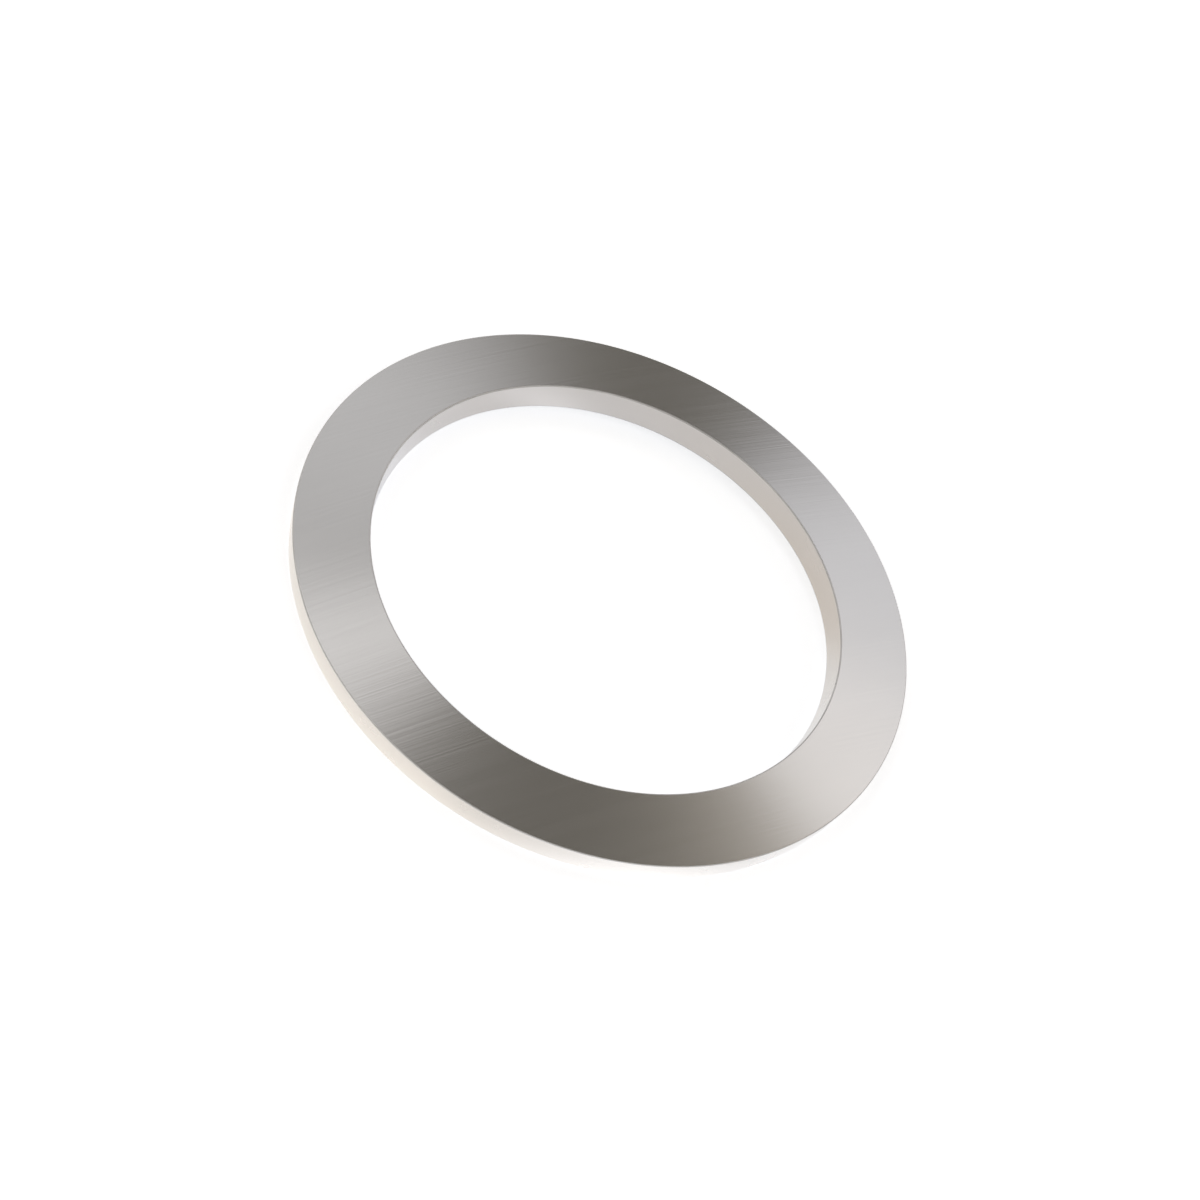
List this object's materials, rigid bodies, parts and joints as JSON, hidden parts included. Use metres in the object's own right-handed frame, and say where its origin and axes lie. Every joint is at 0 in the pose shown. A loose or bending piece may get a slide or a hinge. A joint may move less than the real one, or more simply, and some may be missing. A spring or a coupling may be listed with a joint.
{
  "type": "disc spring",
  "caption": "Disc spring: a shallow coned ring of spring steel with square-cut, deburred edges, which flattens under a load along its axis.",
  "frame": {"origin": "on the ring's axis, in the plane that the lower outer edge stands on", "axes": "+Z along the ring's axis, towards the convex side; X and Y are free, because the ring is the same all the way round"},
  "size_m": [0.08, 0.08, 0.0051],
  "materials": {
    "spring_steel": "fine straight grinding lines on the coned faces, smooth walls, deburred edges"
  },
  "bodies": {
    "root": {"disc_spring": "spring_steel"}
  },
  "joints": []
}
